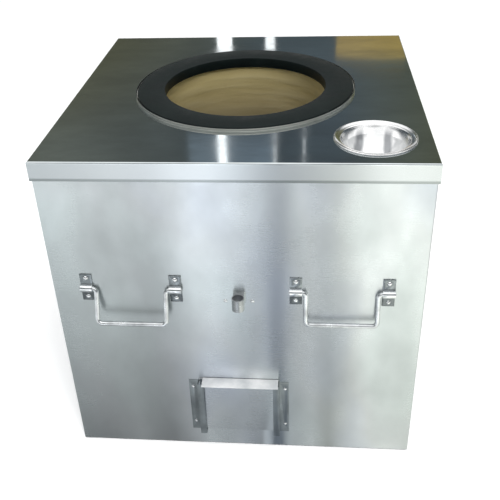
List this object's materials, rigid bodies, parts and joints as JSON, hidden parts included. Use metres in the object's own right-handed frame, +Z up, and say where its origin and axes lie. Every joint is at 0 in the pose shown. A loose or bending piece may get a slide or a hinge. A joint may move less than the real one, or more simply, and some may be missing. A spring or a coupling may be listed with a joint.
{
  "type": "tandoor oven",
  "caption": "Square clay tandoor oven: a clay pot packed in insulation inside a stainless steel box, with a round mouth, a water bowl, drop handles and a sliding air door.",
  "frame": {"origin": "on the floor, under the centre of the square body and of the round mouth", "axes": "+Z up, along the axis of the mouth; the front, with the air door, faces -Y; +X is to the right seen from the front"},
  "size_m": [0.766, 0.8163, 0.7395],
  "materials": {
    "body_steel": "satin stainless steel sheet, cloudy, with soft reflections",
    "deck_steel": "polished stainless steel sheet with clear dark reflections",
    "trim_steel": "bright turned steel band",
    "black_iron": "black cast iron with a low sheen",
    "fired_clay": "unglazed ochre clay, smoothed by hand in rings",
    "fire_brick": "dry pale fire brick",
    "grate_iron": "scaled black cast iron",
    "frame_paint": "black painted mild steel angle",
    "duct_steel": "dull folded steel sheet",
    "mineral_wool": "packed mineral wool",
    "fire_mortar": "troweled refractory mortar",
    "bowl_steel": "bright spun stainless steel",
    "door_steel": "folded stainless steel sheet with a bright top flange",
    "rail_steel": "darker folded steel sheet",
    "tube_steel": "cut stainless steel tube",
    "bar_steel": "bright round stainless steel bar",
    "saddle_steel": "pressed steel strap",
    "fastener_steel": "bright domed heads"
  },
  "bodies": {
    "oven": {"base_plate": "frame_paint", "base_frame": "frame_paint", "corner_posts": "frame_paint", "top_frame": "frame_paint", "front_panel": "body_steel", "rear_panel": "body_steel", "left_panel": "body_steel", "right_panel": "body_steel", "panel_rivets": "fastener_steel", "fire_bricks": "fire_brick", "clay_pot": "fired_clay", "grate_stubs": "fire_brick", "air_duct": "duct_steel", "wool_packing": "mineral_wool", "mortar_collar": "fire_mortar", "top_deck": "deck_steel", "deck_screws": "fastener_steel", "mouth_trim": "trim_steel", "mouth_ring": "black_iron", "door_rail_left": "rail_steel", "door_rail_right": "rail_steel", "rail_rivets": "fastener_steel", "rod_socket": "tube_steel", "socket_plate": "duct_steel", "socket_rivets": "fastener_steel", "saddles_front_left": "saddle_steel", "saddles_front_right": "saddle_steel", "saddles_rear_left": "saddle_steel", "saddles_rear_right": "saddle_steel", "handle_bolts_front": "fastener_steel", "handle_bolts_rear": "fastener_steel", "handle_nuts_front": "fastener_steel", "handle_nuts_rear": "fastener_steel"},
    "air_door": {"air_door": "door_steel"},
    "water_bowl": {"water_bowl": "bowl_steel"},
    "fire_grate": {"fire_grate": "grate_iron"},
    "bail_front_left": {"bail_front_left": "bar_steel"},
    "bail_front_right": {"bail_front_right": "bar_steel"},
    "bail_rear_left": {"bail_rear_left": "bar_steel"},
    "bail_rear_right": {"bail_rear_right": "bar_steel"}
  },
  "joints": [
    {"name": "door_slide", "type": "slide", "parent": "oven", "child": "air_door", "axis": [0, 0, 1], "range_m": [0, 0.14]},
    {"name": "bail_front_left_swing", "type": "hinge", "parent": "oven", "child": "bail_front_left", "pos_m": [-0.214, -0.3838, 0.446], "axis": [-1, 0, 0], "range_deg": [-19, 157]},
    {"name": "bail_front_right_swing", "type": "hinge", "parent": "oven", "child": "bail_front_right", "pos_m": [0.214, -0.3838, 0.446], "axis": [-1, 0, 0], "range_deg": [-7, 169]},
    {"name": "bail_rear_left_swing", "type": "hinge", "parent": "oven", "child": "bail_rear_left", "pos_m": [-0.214, 0.3838, 0.446], "axis": [1, 0, 0], "range_deg": [-11, 165]},
    {"name": "bail_rear_right_swing", "type": "hinge", "parent": "oven", "child": "bail_rear_right", "pos_m": [0.214, 0.3838, 0.446], "axis": [1, 0, 0], "range_deg": [-11, 165]},
    {"name": "bowl_lift", "type": "slide", "parent": "oven", "child": "water_bowl", "axis": [0, 0, 1], "range_m": [0, 0.12]},
    {"name": "grate_lift", "type": "slide", "parent": "oven", "child": "fire_grate", "axis": [0, 0, 1], "range_m": [0, 0.62]}
  ]
}
